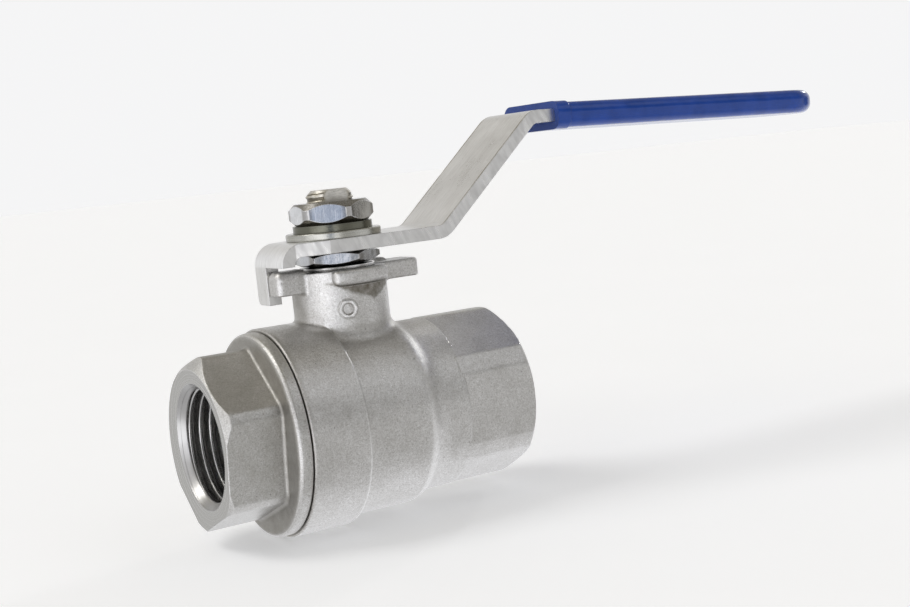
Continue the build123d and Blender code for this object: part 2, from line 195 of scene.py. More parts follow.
# ------------------------------------------------------------------- materials
def pits(t, scale, size, share):
    """Sparse round pits: 1 in a pit, 0 elsewhere."""
    d = t.voronoi(scale)
    keep = t.voronoi(scale, out="Color")
    r, _, _ = t.xyz(keep)
    hole = t.step(d, size, size * 0.45)
    return t.m("MULTIPLY", hole, t.step(r, share, share - 0.04))


def cast_steel(name, machined, painted_shade=None, tone=1.0, warm=0.0, grain=1.0, painted_shadow=None, painted_highlight=None):
    """Investment-cast, glass-blasted stainless. machined(t) gives 1 where the surface was turned afterwards;
    the three optional masks after it lay painted shade, a painted shadow and painted highlights into the colour."""
    t = Tree(name)
    edge = t.soft_edge(0.30)
    fine = t.noise(1.9, 4.0, 0.68)
    grit = t.noise(4.6, 2.0, 0.6)
    mottle = t.noise(0.16, 4.0, 0.6)
    swell = t.noise(0.42, 2.0, 0.5)
    cell = t.voronoi(6.0, out="Color")
    spark, spark2, _ = t.xyz(cell)
    glint = t.m("MULTIPLY", t.step(spark, 0.84, 0.94), t.lin(mottle, 0.35, 0.6, 0.2, 1.0))
    pit = pits(t, 0.85, 0.14, 0.18)
    big = pits(t, 0.34, 0.085, 0.22)
    turned = machined(t)
    rad = t.m("SQRT", t.m("ADD", t.m("MULTIPLY", t.y, t.y), t.m("MULTIPLY", t.z, t.z)))
    wob = t.noise(0.35, 2.0)
    ring = t.m("SINE", t.m("MULTIPLY", t.m("ADD", rad, t.m("MULTIPLY", wob, 0.35)), 2 * math.pi / 0.24))
    ring2 = t.noise(1.0, 3.0, 0.7, t.comb(t.m("MULTIPLY", rad, 6.0), t.m("MULTIPLY", t.x, 6.0), 0.0))
    # colour
    a = (0.54 * tone, 0.53 * tone, (0.51 - warm) * tone)
    b = (0.70 * tone, 0.69 * tone, (0.675 - warm * 0.6) * tone)
    col = t.mix(t.lin(mottle, 0.3, 0.7), a, b)
    col = t.mix(t.m("MULTIPLY", t.lin(fine, 0.42, 0.66), 0.55), col, (0.80 * tone, 0.795 * tone, 0.78 * tone))
    col = t.mix(t.m("MULTIPLY", t.lin(grit, 0.55, 0.30), 0.62), col, (0.36 * tone, 0.345 * tone, 0.32 * tone))
    col = t.mix(t.m("MULTIPLY", glint, 0.40), col, (0.92 * tone, 0.92 * tone, 0.92 * tone))
    col = t.mix(t.m("MULTIPLY", t.m("MAXIMUM", pit, big), 0.55), col, (0.22, 0.20, 0.18))
    # painted shade laid into the colour
    if painted_shade is not None:
        col = t.mix(painted_shade(t), col, (0.30 * tone, 0.285 * tone, 0.255 * tone))
    # painted shadow laid into the colour
    if painted_shadow is not None:
        col = t.mix(painted_shadow(t), col, (0.135, 0.118, 0.085))
    # sharp edges lightened in colour and smoothed: edge wear and painted highlight
    edge_wear_and_highlight = t.edge_wear_and_highlight(edge)
    # painted highlights added to the lightened edges
    if painted_highlight is not None:
        edge_wear_and_highlight = t.m("MAXIMUM", edge_wear_and_highlight, painted_highlight(t))
    edge_wear_and_highlight = t.m("MULTIPLY", edge_wear_and_highlight, t.lin(fine, 0.3, 0.6, 0.35, 1.0))
    col = t.mix(t.m("MULTIPLY", edge_wear_and_highlight, 0.75), col, (0.90, 0.895, 0.88))
    cut = t.mix(t.lin(ring2, 0.35, 0.7), (0.52, 0.517, 0.51), (0.60, 0.598, 0.59))
    col = t.mix(turned, col, cut)
    # roughness
    r_cast = t.m("ADD", t.lin(mottle, 0.3, 0.7, 0.36, 0.46), t.lin(fine, 0.3, 0.7, -0.04, 0.06))
    r_cast = t.m("SUBTRACT", r_cast, t.m("ADD", t.m("MULTIPLY", glint, 0.08), t.m("MULTIPLY", edge_wear_and_highlight, 0.12)))
    r_cut = t.lin(ring2, 0.3, 0.7, 0.20, 0.30)
    rough = t.mixf(turned, r_cast, r_cut)
    # relief
    h = t.m("ADD", t.m("MULTIPLY", fine, 0.95), t.m("MULTIPLY", grit, 0.5))
    h = t.m("ADD", h, t.m("MULTIPLY", spark2, 0.16))
    h = t.m("SUBTRACT", h, t.m("MULTIPLY", t.m("MAXIMUM", pit, big), 1.2))
    h = t.m("ADD", h, t.m("MULTIPLY", mottle, 1.6))
    h = t.m("ADD", h, t.m("MULTIPLY", swell, 1.1))
    h = t.m("MULTIPLY", h, t.m("SUBTRACT", 1.0, turned))
    h2 = t.m("MULTIPLY", t.m("ADD", t.m("MULTIPLY", ring, 0.025), t.m("MULTIPLY", ring2, 0.16)), turned)
    nrm = t.bump(t.m("ADD", h, h2), 0.056 * grain, 1.0, edge)
    return t.set(base=col, metal=1.0, rough=rough, normal=nrm)


def turned_steel(name, axis="Z", tone=1.0, rough=(0.14, 0.24), pitch=0.16, relief=0.010, edge=0.12, warm=0.0, dull=None):
    """Bright bar-turned steel with fine tool rings about its axis."""
    t = Tree(name)
    e = t.soft_edge(edge)
    if axis == "X":
        rad = t.m("SQRT", t.m("ADD", t.m("MULTIPLY", t.y, t.y), t.m("MULTIPLY", t.z, t.z))); along = t.x
    else:
        rad = t.m("SQRT", t.m("ADD", t.m("MULTIPLY", t.x, t.x), t.m("MULTIPLY", t.y, t.y))); along = t.z
    rings = t.noise(1.0, 3.0, 0.7, t.comb(t.m("MULTIPLY", rad, 1 / pitch), t.m("MULTIPLY", along, 1 / pitch), 0.0))
    wide = t.noise(0.22, 3.0, 0.6)
    fine = t.noise(3.5, 2.0, 0.6)
    col = t.mix(t.lin(wide, 0.3, 0.7), (0.60 * tone, 0.59 * tone, (0.575 - warm) * tone), (0.76 * tone, 0.755 * tone, (0.745 - warm) * tone))
    col = t.mix(t.m("MULTIPLY", t.lin(rings, 0.6, 0.35), 0.35), col, (0.42 * tone, 0.41 * tone, 0.39 * tone))
    r = t.m("ADD", t.lin(rings, 0.3, 0.7, rough[0], rough[1]), t.lin(fine, 0.3, 0.7, -0.015, 0.03))
    if dull is not None:
        d = t.m("MULTIPLY", dull(t), 0.55)
        col = t.mix(d, col, (0.40 * tone, 0.395 * tone, 0.385 * tone))
        r = t.m("ADD", r, t.m("MULTIPLY", d, 0.22))
    h = t.m("ADD", rings, t.m("MULTIPLY", fine, 0.35))
    return t.set(base=col, metal=1.0, rough=r, normal=t.bump(h, relief, 1.0, e))


def stem_steel(name):
    """Turned stem: dull, with dark roots between the M8 crests above the lever and milled flats."""
    t = Tree(name)
    e = t.soft_edge(0.12)
    rs = t.m("SQRT", t.m("ADD", t.m("MULTIPLY", t.x, t.x), t.m("MULTIPLY", t.y, t.y)))
    ang = t.m("DIVIDE", t.m("ARCTAN2", t.y, t.x), 2 * math.pi)
    turn = t.m("FRACT", t.m("ADD", t.m("SUBTRACT", t.m("DIVIDE", t.z, 1.0), ang), 99.5955))   # 0 on a crest
    groove = t.m("MULTIPLY", t.step(t.m("ABSOLUTE", t.m("SUBTRACT", turn, 0.5)), 0.30, 0.16), t.step(rs, 3.60, 3.70))
    groove = t.m("MULTIPLY", groove, t.m("MULTIPLY", t.step(t.z, 31.0, 31.2), t.step(t.nz, 0.8, 0.6)))
    mill = t.noise(1.0, 3.0, 0.65, t.comb(t.m("MULTIPLY", t.x, 1.0), t.m("MULTIPLY", t.y, 1.0), t.m("MULTIPLY", t.z, 5.0)))
    fine = t.noise(3.0, 3.0, 0.65)
    wide = t.noise(0.4, 3.0, 0.6)
    col = t.mix(t.lin(wide, 0.3, 0.7), (0.58, 0.56, 0.52), (0.80, 0.78, 0.73))
    col = t.mix(t.m("MULTIPLY", t.lin(fine, 0.45, 0.68), 0.5), col, (0.66, 0.65, 0.62))
    col = t.mix(t.m("MULTIPLY", t.lin(mill, 0.60, 0.36), 0.35), col, (0.26, 0.245, 0.215))
    stain = t.m("MULTIPLY", t.step(rs, 3.3, 3.65), t.lin(t.noise(0.9, 3.0), 0.35, 0.65, 0.15, 0.8))
    stain = t.m("MULTIPLY", stain, t.step(t.z, 31.0, 31.2))
    col = t.mix(stain, col, (0.36, 0.315, 0.215))
    low = t.m("MULTIPLY", t.step(t.z, 38.0, 36.9), t.step(t.z, 30.8, 31.2))
    col = t.mix(t.m("MULTIPLY", low, 0.35), col, (0.20, 0.18, 0.14))
    col = t.mix(t.m("MULTIPLY", groove, 0.85), col, (0.085, 0.072, 0.050))
    r = t.m("ADD", t.lin(mill, 0.3, 0.7, 0.26, 0.38), t.lin(fine, 0.3, 0.7, -0.03, 0.05))
    h = t.m("ADD", t.m("MULTIPLY", mill, 0.8), t.m("MULTIPLY", fine, 0.7))
    h = t.m("SUBTRACT", h, t.m("MULTIPLY", groove, 3.0))
    return t.set(base=col, metal=1.0, rough=r, normal=t.bump(h, 0.03, 1.0, e))


def nut_steel(name, tone=1.0):
    """Cold-formed stainless nut: barrel-polished flats with faint draw lines up the flats, turned chamfers."""
    t = Tree(name)
    e = t.soft_edge(0.16)
    draw = t.noise(1.0, 3.0, 0.65, t.comb(t.m("MULTIPLY", t.x, 5.0), t.m("MULTIPLY", t.y, 5.0), t.m("MULTIPLY", t.z, 0.5)))
    wide = t.noise(0.35, 3.0, 0.6)
    wave = t.noise(0.75, 2.0, 0.5)
    fine = t.noise(4.5, 2.0, 0.6)
    dent = pits(t, 1.1, 0.12, 0.15)
    col = t.mix(t.lin(wide, 0.3, 0.7), (0.60 * tone, 0.61 * tone, 0.63 * tone), (0.78 * tone, 0.79 * tone, 0.81 * tone))
    col = t.mix(t.m("MULTIPLY", t.lin(draw, 0.6, 0.3), 0.3), col, (0.36, 0.37, 0.39))
    col = t.mix(t.m("MULTIPLY", dent, 0.5), col, (0.25, 0.24, 0.22))
    rs = t.m("SQRT", t.m("ADD", t.m("MULTIPLY", t.x, t.x), t.m("MULTIPLY", t.y, t.y)))
    cone = t.m("MULTIPLY", t.step(t.m("ABSOLUTE", t.nz), 0.12, 0.32), t.step(t.m("ABSOLUTE", t.nz), 0.985, 0.93))
    cone = t.m("MULTIPLY", cone, t.lin(fine, 0.3, 0.7, 0.75, 1.0))
    # painted reflection: the chamfer cones darkened to a dark brown
    col = t.mix(t.m("MULTIPLY", cone, 0.88), col, (0.17, 0.155, 0.125))
    # painted shade toward the nut's corners
    col = t.mix(t.m("MULTIPLY", t.step(rs, 6.72, 7.05), 0.60), col, (0.20, 0.185, 0.16))
    # edges lightened: edge wear and painted highlight
    nut_edge_wear_and_highlight = t.m("MULTIPLY", t.edge_wear_and_highlight(e), t.lin(fine, 0.3, 0.6, 0.4, 1.0))
    col = t.mix(t.m("MULTIPLY", nut_edge_wear_and_highlight, 0.8), col, (0.92, 0.93, 0.95))
    r = t.m("ADD", t.lin(draw, 0.3, 0.7, 0.10, 0.18), t.lin(fine, 0.3, 0.7, -0.01, 0.03))
    r = t.m("ADD", r, t.m("MULTIPLY", cone, 0.16))
    h = t.m("ADD", t.m("MULTIPLY", draw, 0.35), t.m("MULTIPLY", fine, 0.3))
    h = t.m("ADD", h, t.m("MULTIPLY", wave, 1.7))
    h = t.m("SUBTRACT", h, dent)
    return t.set(base=col, metal=1.0, rough=r, normal=t.bump(h, 0.012, 1.0, e))


def lever_steel(name):
    """Stamped and tumbled stainless strip: satin faces, sheared edges with a burnished and a torn band."""
    t = Tree(name)
    e = t.soft_edge(0.20)
    fine = t.noise(2.6, 3.0, 0.62)
    wide = t.noise(0.12, 4.0, 0.6)
    wave = t.noise(0.28, 2.0, 0.5)
    line = t.noise(1.0, 3.0, 0.65, t.comb(t.m("MULTIPLY", t.x, 0.35), t.m("MULTIPLY", t.y, 4.0), t.m("MULTIPLY", t.z, 0.35)))
    scr = t.voronoi(1.0, t.comb(t.m("MULTIPLY", t.x, 0.12), t.m("MULTIPLY", t.y, 1.6), t.m("MULTIPLY", t.z, 0.12)), "DISTANCE_TO_EDGE")
    side = t.step(t.m("ABSOLUTE", t.ny), 0.45, 0.75)         # sheared edges of the blank
    face = t.m("SUBTRACT", 1.0, side)
    scratch = t.m("MULTIPLY", t.step(scr, 0.018, 0.004), t.step(t.noise(0.3, 2.0), 0.52, 0.62))
    scratch = t.m("MULTIPLY", scratch, face)
    pit = t.m("MULTIPLY", pits(t, 0.9, 0.10, 0.14), face)
    tear = t.noise(1.0, 2.0, 0.5, t.comb(t.m("MULTIPLY", t.m("ADD", t.x, t.m("MULTIPLY", t.z, 0.45)), 1.1), t.m("MULTIPLY", t.z, 0.3), t.m("MULTIPLY", t.y, 0.8)))
    col = t.mix(t.lin(wide, 0.3, 0.7), (0.80, 0.795, 0.785), (0.93, 0.93, 0.925))
    col = t.mix(t.m("MULTIPLY", t.lin(line, 0.62, 0.36), 0.22), col, (0.44, 0.43, 0.41))
    col = t.mix(t.m("MULTIPLY", t.m("MAXIMUM", pit, scratch), 0.24), col, (0.34, 0.32, 0.29))
    col = t.mix(t.m("MULTIPLY", side, t.lin(tear, 0.40, 0.66, 0.45, 0.75)), col, (0.62, 0.615, 0.605))
    col = t.mix(t.m("MULTIPLY", side, t.lin(tear, 0.46, 0.30, 0.0, 0.16)), col, (0.46, 0.44, 0.41))
    # painted reflection: a dark brown line along the top face at the lever's side edges
    edge_painted_reflection = t.m("MULTIPLY", t.m("MULTIPLY", face, t.step(t.m("ABSOLUTE", t.y), 7.05, 7.22)), t.step(t.nz, 0.10, 0.22))
    edge_painted_reflection = t.m("MULTIPLY", t.m("MULTIPLY", edge_painted_reflection, t.step(t.x, 15.0, 19.0)), t.lin(wave, 0.35, 0.55, 0.45, 1.0))
    col = t.mix(t.m("MULTIPLY", edge_painted_reflection, 0.8), col, (0.27, 0.235, 0.155))
    r = t.mixf(side, t.m("ADD", t.lin(wide, 0.3, 0.7, 0.27, 0.36), t.lin(fine, 0.3, 0.7, -0.03, 0.05)), t.lin(tear, 0.3, 0.7, 0.24, 0.44))
    h = t.m("ADD", t.m("MULTIPLY", fine, 0.5), t.m("MULTIPLY", line, 0.35))
    h = t.m("ADD", h, t.m("MULTIPLY", wave, 3.0))
    h = t.m("SUBTRACT", h, t.m("MULTIPLY", t.m("MAXIMUM", pit, scratch), 0.35))
    h = t.m("ADD", t.m("MULTIPLY", h, t.m("SUBTRACT", 1.0, t.m("MULTIPLY", side, 0.6))), t.m("MULTIPLY", t.m("MULTIPLY", side, tear), 0.8))
    return t.set(base=col, metal=1.0, rough=r, normal=t.bump(h, 0.022, 1.0, e))


def vinyl(name):
    """Dip-moulded soft vinyl: glossy, slightly lumpy, dusty in places, matt on the cut end."""
    t = Tree(name)
    e = t.soft_edge(0.25)
    lump = t.noise(0.10, 2.0, 0.45)
    lump2 = t.noise(0.32, 2.0, 0.5)
    orange = t.noise(1.5, 2.0, 0.5)
    dust = t.noise(3.0, 3.0, 0.6)
    speck = pits(t, 1.6, 0.10, 0.12)
    cut = t.step(t.x, 43.1, 42.5)
    cut = t.m("MULTIPLY", cut, t.step(t.nx, -0.5, -0.8))
    col = t.mix(t.lin(lump2, 0.3, 0.7), (0.006, 0.044, 0.255), (0.011, 0.057, 0.325))
    col = t.mix(t.m("MULTIPLY", t.lin(dust, 0.55, 0.8), 0.10), col, (0.06, 0.14, 0.46))
    col = t.mix(t.m("MULTIPLY", speck, 0.35), col, (0.16, 0.21, 0.40))
    # painted shade: the cut end face darker than the rest of the sleeve
    col = t.mix(t.m("MULTIPLY", cut, 0.45), col, (0.010, 0.030, 0.14))
    r = t.m("ADD", t.lin(lump2, 0.3, 0.7, 0.11, 0.17), t.lin(dust, 0.4, 0.8, 0.0, 0.07))
    r = t.mixf(cut, r, 0.45)
    h = t.m("ADD", t.m("MULTIPLY", lump, 4.5), t.m("MULTIPLY", lump2, 1.6))
    h = t.m("ADD", h, t.m("MULTIPLY", orange, 0.22))
    h = t.m("ADD", h, t.m("MULTIPLY", speck, 0.35))
    return t.set(base=col, rough=r, ior=1.42, normal=t.bump(h, 0.05, 1.0, e))


def ptfe(name):
    """Skived virgin PTFE: waxy white with faint skiving lines."""
    t = Tree(name)
    e = t.soft_edge(0.10)
    rad = t.m("SQRT", t.m("ADD", t.m("MULTIPLY", t.y, t.y), t.m("MULTIPLY", t.z, t.z)))
    line = t.noise(1.0, 3.0, 0.6, t.comb(t.m("MULTIPLY", rad, 4.0), t.m("MULTIPLY", t.x, 4.0), 0.0))
    wide = t.noise(0.3, 3.0)
    col = t.mix(t.lin(wide, 0.3, 0.7), (0.80, 0.80, 0.77), (0.90, 0.90, 0.885))
    col = t.mix(t.m("MULTIPLY", t.lin(line, 0.6, 0.35), 0.25), col, (0.70, 0.70, 0.67))
    r = t.lin(line, 0.3, 0.7, 0.40, 0.52)
    return t.set(base=col, rough=r, sss=0.1, normal=t.bump(line, 0.012, 1.0, e))


def ball_steel(name):
    t = Tree(name)
    e = t.soft_edge(0.15)
    swirl = t.noise(0.5, 4.0, 0.6, distortion=0.8)
    fine = t.noise(4.0, 2.0)
    rad = t.m("SQRT", t.m("ADD", t.m("MULTIPLY", t.y, t.y), t.m("MULTIPLY", t.z, t.z)))
    bore = t.step(rad, 7.7, 7.5)
    line = t.noise(1.0, 3.0, 0.6, t.comb(t.m("MULTIPLY", t.x, 5.0), t.m("MULTIPLY", rad, 5.0), 0.0))
    col = t.mix(t.lin(swirl, 0.3, 0.7), (0.70, 0.69, 0.67), (0.80, 0.795, 0.785))
    col = t.mix(t.m("MULTIPLY", bore, 0.5), col, (0.55, 0.54, 0.52))
    r = t.mixf(bore, t.lin(swirl, 0.3, 0.7, 0.07, 0.13), t.lin(line, 0.3, 0.7, 0.22, 0.34))
    h = t.m("ADD", t.m("MULTIPLY", fine, 0.15), t.m("MULTIPLY", t.m("MULTIPLY", line, bore), 1.0))
    return t.set(base=col, metal=1.0, rough=r, normal=t.bump(h, 0.008, 1.0, e))


def body_machined(t):
    """End face, mouth and stem seat of the casting; the rest is blasted."""
    rad = t.m("SQRT", t.m("ADD", t.m("MULTIPLY", t.y, t.y), t.m("MULTIPLY", t.z, t.z)))
    face = t.m("MULTIPLY", t.step(t.x, 28.15, 28.25), t.step(t.nx, 0.8, 0.95))
    bore = t.m("MULTIPLY", t.step(rad, 10.75, 10.55), t.step(t.z, 16.5, 16.0))
    top = t.m("MULTIPLY", t.step(t.z, 25.3, 25.4), t.step(t.nz, 0.8, 0.95))
    rs = t.m("SQRT", t.m("ADD", t.m("MULTIPLY", t.x, t.x), t.m("MULTIPLY", t.y, t.y)))
    top = t.m("MULTIPLY", top, t.step(rs, 7.8, 7.7))
    return t.m("MAXIMUM", t.m("MAXIMUM", face, bore), top)


def cap_machined(t):
    """End face and mouth of the cap."""
    rad = t.m("SQRT", t.m("ADD", t.m("MULTIPLY", t.y, t.y), t.m("MULTIPLY", t.z, t.z)))
    face = t.m("MULTIPLY", t.step(t.x, -27.65, -27.75), t.step(t.nx, -0.8, -0.95))
    bore = t.step(rad, 10.75, 10.55)
    return t.m("MAXIMUM", face, bore)


def cap_painted_shade(t):
    """Painted shade in the corner between the cap's hexagon and its flange, and on the flat that faces up."""
    root = t.m("MULTIPLY", t.step(t.x, -18.9, -18.05), t.step(t.x, -17.75, -17.95))
    top = t.m("MULTIPLY", t.step(t.nz, 0.55, 0.85), t.step(t.x, -17.9, -18.3))
    top = t.m("MULTIPLY", top, 0.42)
    v = t.m("MAXIMUM", t.m("MULTIPLY", root, 0.85), top)
    return t.m("MULTIPLY", v, t.lin(t.noise(0.5, 3.0), 0.3, 0.7, 0.70, 1.0))


def body_painted_shade(t):
    """Painted shade under the stops, round the root of the neck, beside the cap, on the rim at the cap's gap and in the
    crease of the step.
    """
    rs = t.m("SQRT", t.m("ADD", t.m("MULTIPLY", t.x, t.x), t.m("MULTIPLY", t.y, t.y)))
    near = t.m("MULTIPLY", t.step(rs, 13.5, 9.5), t.m("MULTIPLY", t.step(t.z, 12.0, 14.0), t.step(t.z, 16.9, 15.9)))
    arc = t.m("ARCTAN2", t.x, t.m("MULTIPLY", t.y, -1.0))
    flank = t.m("MULTIPLY", t.step(arc, -1.12, -1.38), t.m("MULTIPLY", t.step(rs, 9.6, 8.6), t.step(t.z, 16.8, 18.2)))
    flank = t.m("MULTIPLY", flank, t.step(arc, -2.7, -1.9))
    lip = t.m("MULTIPLY", t.step(t.x, -14.4, -15.5), t.step(t.z, -6.0, 10.0))
    rim = t.step(t.x, -15.25, -15.45)
    v = t.m("MAXIMUM", t.m("MULTIPLY", near, 0.55), t.m("MAXIMUM", t.m("MULTIPLY", flank, 0.75), t.m("MULTIPLY", lip, 0.5)))
    v = t.m("MULTIPLY", v, t.lin(t.noise(0.35, 3.0), 0.3, 0.7, 0.45, 1.0))
    rad = t.m("SQRT", t.m("ADD", t.m("MULTIPLY", t.y, t.y), t.m("MULTIPLY", t.z, t.z)))
    crease = t.m("MULTIPLY", t.step(t.x, -5.42, -5.30), t.step(t.x, -4.98, -5.12))
    crease = t.m("MULTIPLY", crease, t.m("MULTIPLY", t.step(rad, 17.7, 17.5), t.step(t.z, 16.6, 16.2)))
    crease = t.m("MULTIPLY", crease, t.step(rad, 15.7, 15.9))
    return t.m("MAXIMUM", t.m("MAXIMUM", v, t.m("MULTIPLY", crease, 0.8)), t.m("MULTIPLY", rim, 0.75))


MARK = (-2.35, -7.2, 19.25)                   # raised ring on the neck


def mark_radius(t):
    u = t.m("ADD", t.m("MULTIPLY", t.m("SUBTRACT", t.x, MARK[0]), 0.954), t.m("MULTIPLY", t.m("SUBTRACT", t.y, MARK[1]), -0.30))
    w = t.m("SUBTRACT", t.z, MARK[2])
    r = t.m("SQRT", t.m("ADD", t.m("MULTIPLY", u, u), t.m("MULTIPLY", w, w)))
    return r, t.step(t.y, -5.0, -6.0)


def body_painted_shadow(t):
    """Painted shadow under the front boss, and painted shade in the angles of the mark."""
    rs = t.m("SQRT", t.m("ADD", t.m("MULTIPLY", t.x, t.x), t.m("MULTIPLY", t.y, t.y)))
    arc = t.m("ARCTAN2", t.x, t.m("MULTIPLY", t.y, -1.0))       # 0 at the front, positive to the right
    rise = t.m("MULTIPLY", t.m("ABSOLUTE", t.m("SUBTRACT", arc, 0.30)), 3.3)
    floor_z = t.m("ADD", t.m("ADD", 20.25, rise), t.m("MULTIPLY", t.m("SUBTRACT", t.noise(0.6, 2.0), 0.5), 0.9))
    below = t.m("SUBTRACT", t.z, floor_z)
    under = t.m("MULTIPLY", t.step(below, -0.25, 0.45), t.m("MULTIPLY", t.step(rs, 9.4, 9.0), t.step(t.z, 24.0, 23.4)))
    under = t.m("MULTIPLY", under, t.m("MULTIPLY", t.step(t.y, -2.0, -5.0), 0.95))
    under = t.m("MULTIPLY", under, t.lin(t.noise(0.8, 3.0), 0.3, 0.7, 0.62, 1.0))
    r, near = mark_radius(t)
    inner = t.m("MULTIPLY", t.step(r, 0.72, 0.86), t.step(r, 1.05, 0.97))
    outer = t.m("MULTIPLY", t.step(r, 1.48, 1.58), t.step(r, 1.86, 1.66))
    angle = t.m("MULTIPLY", near, t.m("ADD", t.m("MULTIPLY", inner, 0.65), t.m("MULTIPLY", outer, 0.40)))
    return t.m("MAXIMUM", under, angle)


def body_painted_highlight(t):
    """Painted highlights on the mark's raised rim, the root of the neck, the edge of the step between the two diameters
    and a ring on the shoulder.
    """
    r, near = mark_radius(t)
    rim = t.m("MULTIPLY", near, t.m("MULTIPLY", t.step(r, 0.99, 1.09), t.step(r, 1.50, 1.36)))
    step = t.m("MULTIPLY", t.step(t.x, -6.05, -5.80), t.step(t.x, -5.46, -5.58))
    rad = t.m("SQRT", t.m("ADD", t.m("MULTIPLY", t.y, t.y), t.m("MULTIPLY", t.z, t.z)))
    step = t.m("MULTIPLY", step, t.step(rad, 16.9, 17.1))
    step = t.m("MULTIPLY", step, t.step(t.z, 17.35, 17.2))
    ring = t.m("MULTIPLY", t.step(t.x, 5.6, 6.7), t.step(t.x, 8.4, 7.2))
    ring = t.m("MULTIPLY", ring, t.m("MULTIPLY", t.step(t.z, 11.5, 9.0), t.step(t.nx, 0.05, 0.16)))
    out = t.m("MAXIMUM", t.m("MULTIPLY", rim, 0.9), t.m("MULTIPLY", step, 0.55))
    rs = t.m("SQRT", t.m("ADD", t.m("MULTIPLY", t.x, t.x), t.m("MULTIPLY", t.y, t.y)))
    root = t.m("MULTIPLY", t.step(rs, 8.6, 9.1), t.step(rs, 11.0, 10.0))
    root = t.m("MULTIPLY", root, t.m("MULTIPLY", t.step(t.z, 16.0, 16.5), t.step(t.z, 18.6, 17.8)))
    out = t.m("MAXIMUM", out, t.m("MULTIPLY", root, 0.80))
    return t.m("MAXIMUM", out, t.m("MULTIPLY", ring, 0.45))


paint = {
    "body": cast_steel("body_cast", body_machined, body_painted_shade, 0.98, 0.0, painted_shadow=body_painted_shadow, painted_highlight=body_painted_highlight),
    "end_cap": cast_steel("cap_cast", cap_machined, cap_painted_shade, 0.88, 0.012),
    "body_gasket": ptfe("gasket_ptfe"),
    "ball": ball_steel("ball_polished"),
    "seat_ring_cap_side": ptfe("seat_cap_ptfe"),
    "seat_ring_body_side": ptfe("seat_body_ptfe"),
    "stem": stem_steel("stem_turned"),
    "thrust_washer": ptfe("thrust_ptfe"),
    "packing_ring_bottom": ptfe("packing_bottom_ptfe"),
    "packing_ring_middle": ptfe("packing_middle_ptfe"),
    "packing_ring_top": ptfe("packing_top_ptfe"),
    "gland_ring": turned_steel("gland_turned", "Z", 1.0, (0.12, 0.2)),
    "disc_spring": turned_steel("disc_turned", "Z", 1.0, (0.14, 0.24)),
    # tone 0.82 is painted shade: this nut sits under the lever's tail
    "stem_nut": nut_steel("stem_nut_polished", 0.82),
    "lever_handle": lever_steel("lever_satin"),
    "grip_sleeve": vinyl("sleeve_vinyl"),
    "flat_washer": turned_steel("washer_pressed", "Z", 0.64, (0.18, 0.28), 0.3, 0.022, warm=0.045),
    # tone 0.21 is painted shade: the washer is darkened to the shaded band under the nut
    "spring_lock_washer": turned_steel("lock_washer_wire", "Z", 0.21, (0.15, 0.27), 0.3, 0.03, warm=0.13),
    # tone 1.08 is painted light: lifted to the brightness of a lit facet
    "handle_nut": nut_steel("handle_nut_polished", 1.08),
}
for name, mat in paint.items():
    o = nodes[name]
    o.data.materials.clear()
    o.data.materials.append(mat)
    for f in o.data.polygons:
        f.material_index = 0


# --------------------------------------------------------------- added geometry
def add_mesh(name, bm, mat, body, smooth_deg=35):
    bmesh.ops.recalc_face_normals(bm, faces=bm.faces)
    me = bpy.data.meshes.new(name)
    bm.to_mesh(me)
    bm.free()
    o = bpy.data.objects.new(name, me)
    scene.collection.objects.link(o)
    me.materials.append(mat)
    me.shade_smooth()
    me.set_sharp_from_angle(angle=math.radians(smooth_deg))
    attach(o, body)
    return o


def slot_of(node):
    for m in frame["record"].get("materials", []):
        if node in (m.get("nodes") or m.get("node_names") or []):
            return m["slot"]
    return None


def smooth(v):
    v = max(0.0, min(1.0, v))
    return v * v * (3 - 2 * v)


